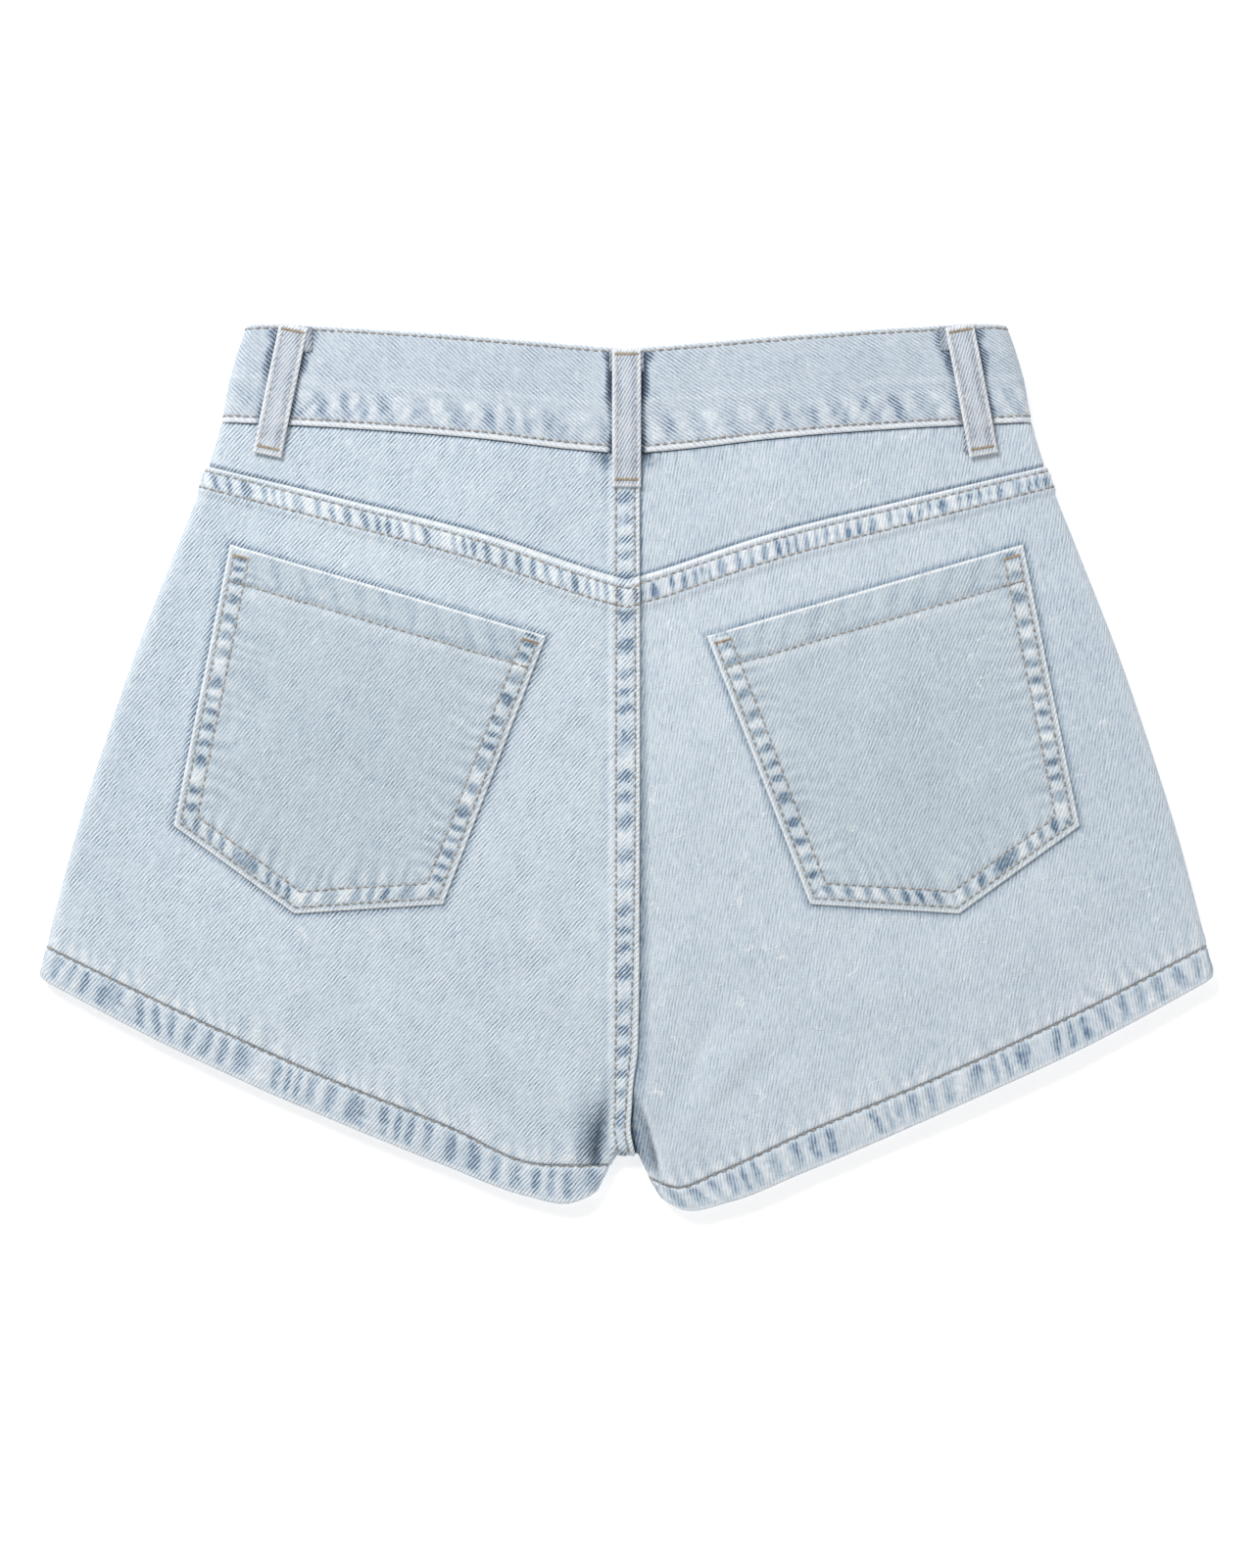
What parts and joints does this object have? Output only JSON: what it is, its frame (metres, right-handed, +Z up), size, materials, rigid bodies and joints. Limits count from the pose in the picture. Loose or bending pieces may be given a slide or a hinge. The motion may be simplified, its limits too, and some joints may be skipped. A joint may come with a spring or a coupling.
{
  "type": "denim shorts",
  "caption": "Pale washed denim shorts laid flat with the back upwards: high waistband with belt loops, pointed yoke, patch pockets, turned hems, open waist and legs",
  "frame": {"origin": "middle of the footprint, on the surface that the front of the shorts lies on", "axes": "+Z up out of the back of the shorts, +Y towards the waist, +X towards the wearer's right side"},
  "size_m": [0.5284, 0.3987, 0.016],
  "materials": {
    "denim_panel": "pale bleached blue cotton twill, slubby, matt, worn white at the seams",
    "denim_pocket": "pale blue-grey cotton twill with worn white edges",
    "denim_hem": "turned hem, roped in slanted blue and white streaks",
    "denim_band": "doubled cotton twill with mottled blue puckers along its seam",
    "denim_loop": "steep cotton twill, grey-lilac, with white worn sides",
    "zip_tape": "woven cotton tape",
    "brass": "aged brass, satin"
  },
  "bodies": {
    "root": {"back_panel_left": "denim_panel", "back_panel_right": "denim_panel", "back_yoke_left": "denim_panel", "back_yoke_right": "denim_panel", "back_pocket_left": "denim_pocket", "back_pocket_right": "denim_pocket", "front_panel_left": "denim_panel", "front_panel_right": "denim_panel", "leg_hem_left": "denim_hem", "leg_hem_right": "denim_hem", "waistband": "denim_band", "belt_loop_back_centre": "denim_loop", "belt_loop_back_left": "denim_loop", "belt_loop_back_right": "denim_loop", "belt_loop_front_left": "denim_loop", "belt_loop_front_right": "denim_loop", "fly_facing": "denim_panel", "zip_tape": "zip_tape", "zip_slider": "brass", "button": "brass"}
  },
  "joints": []
}
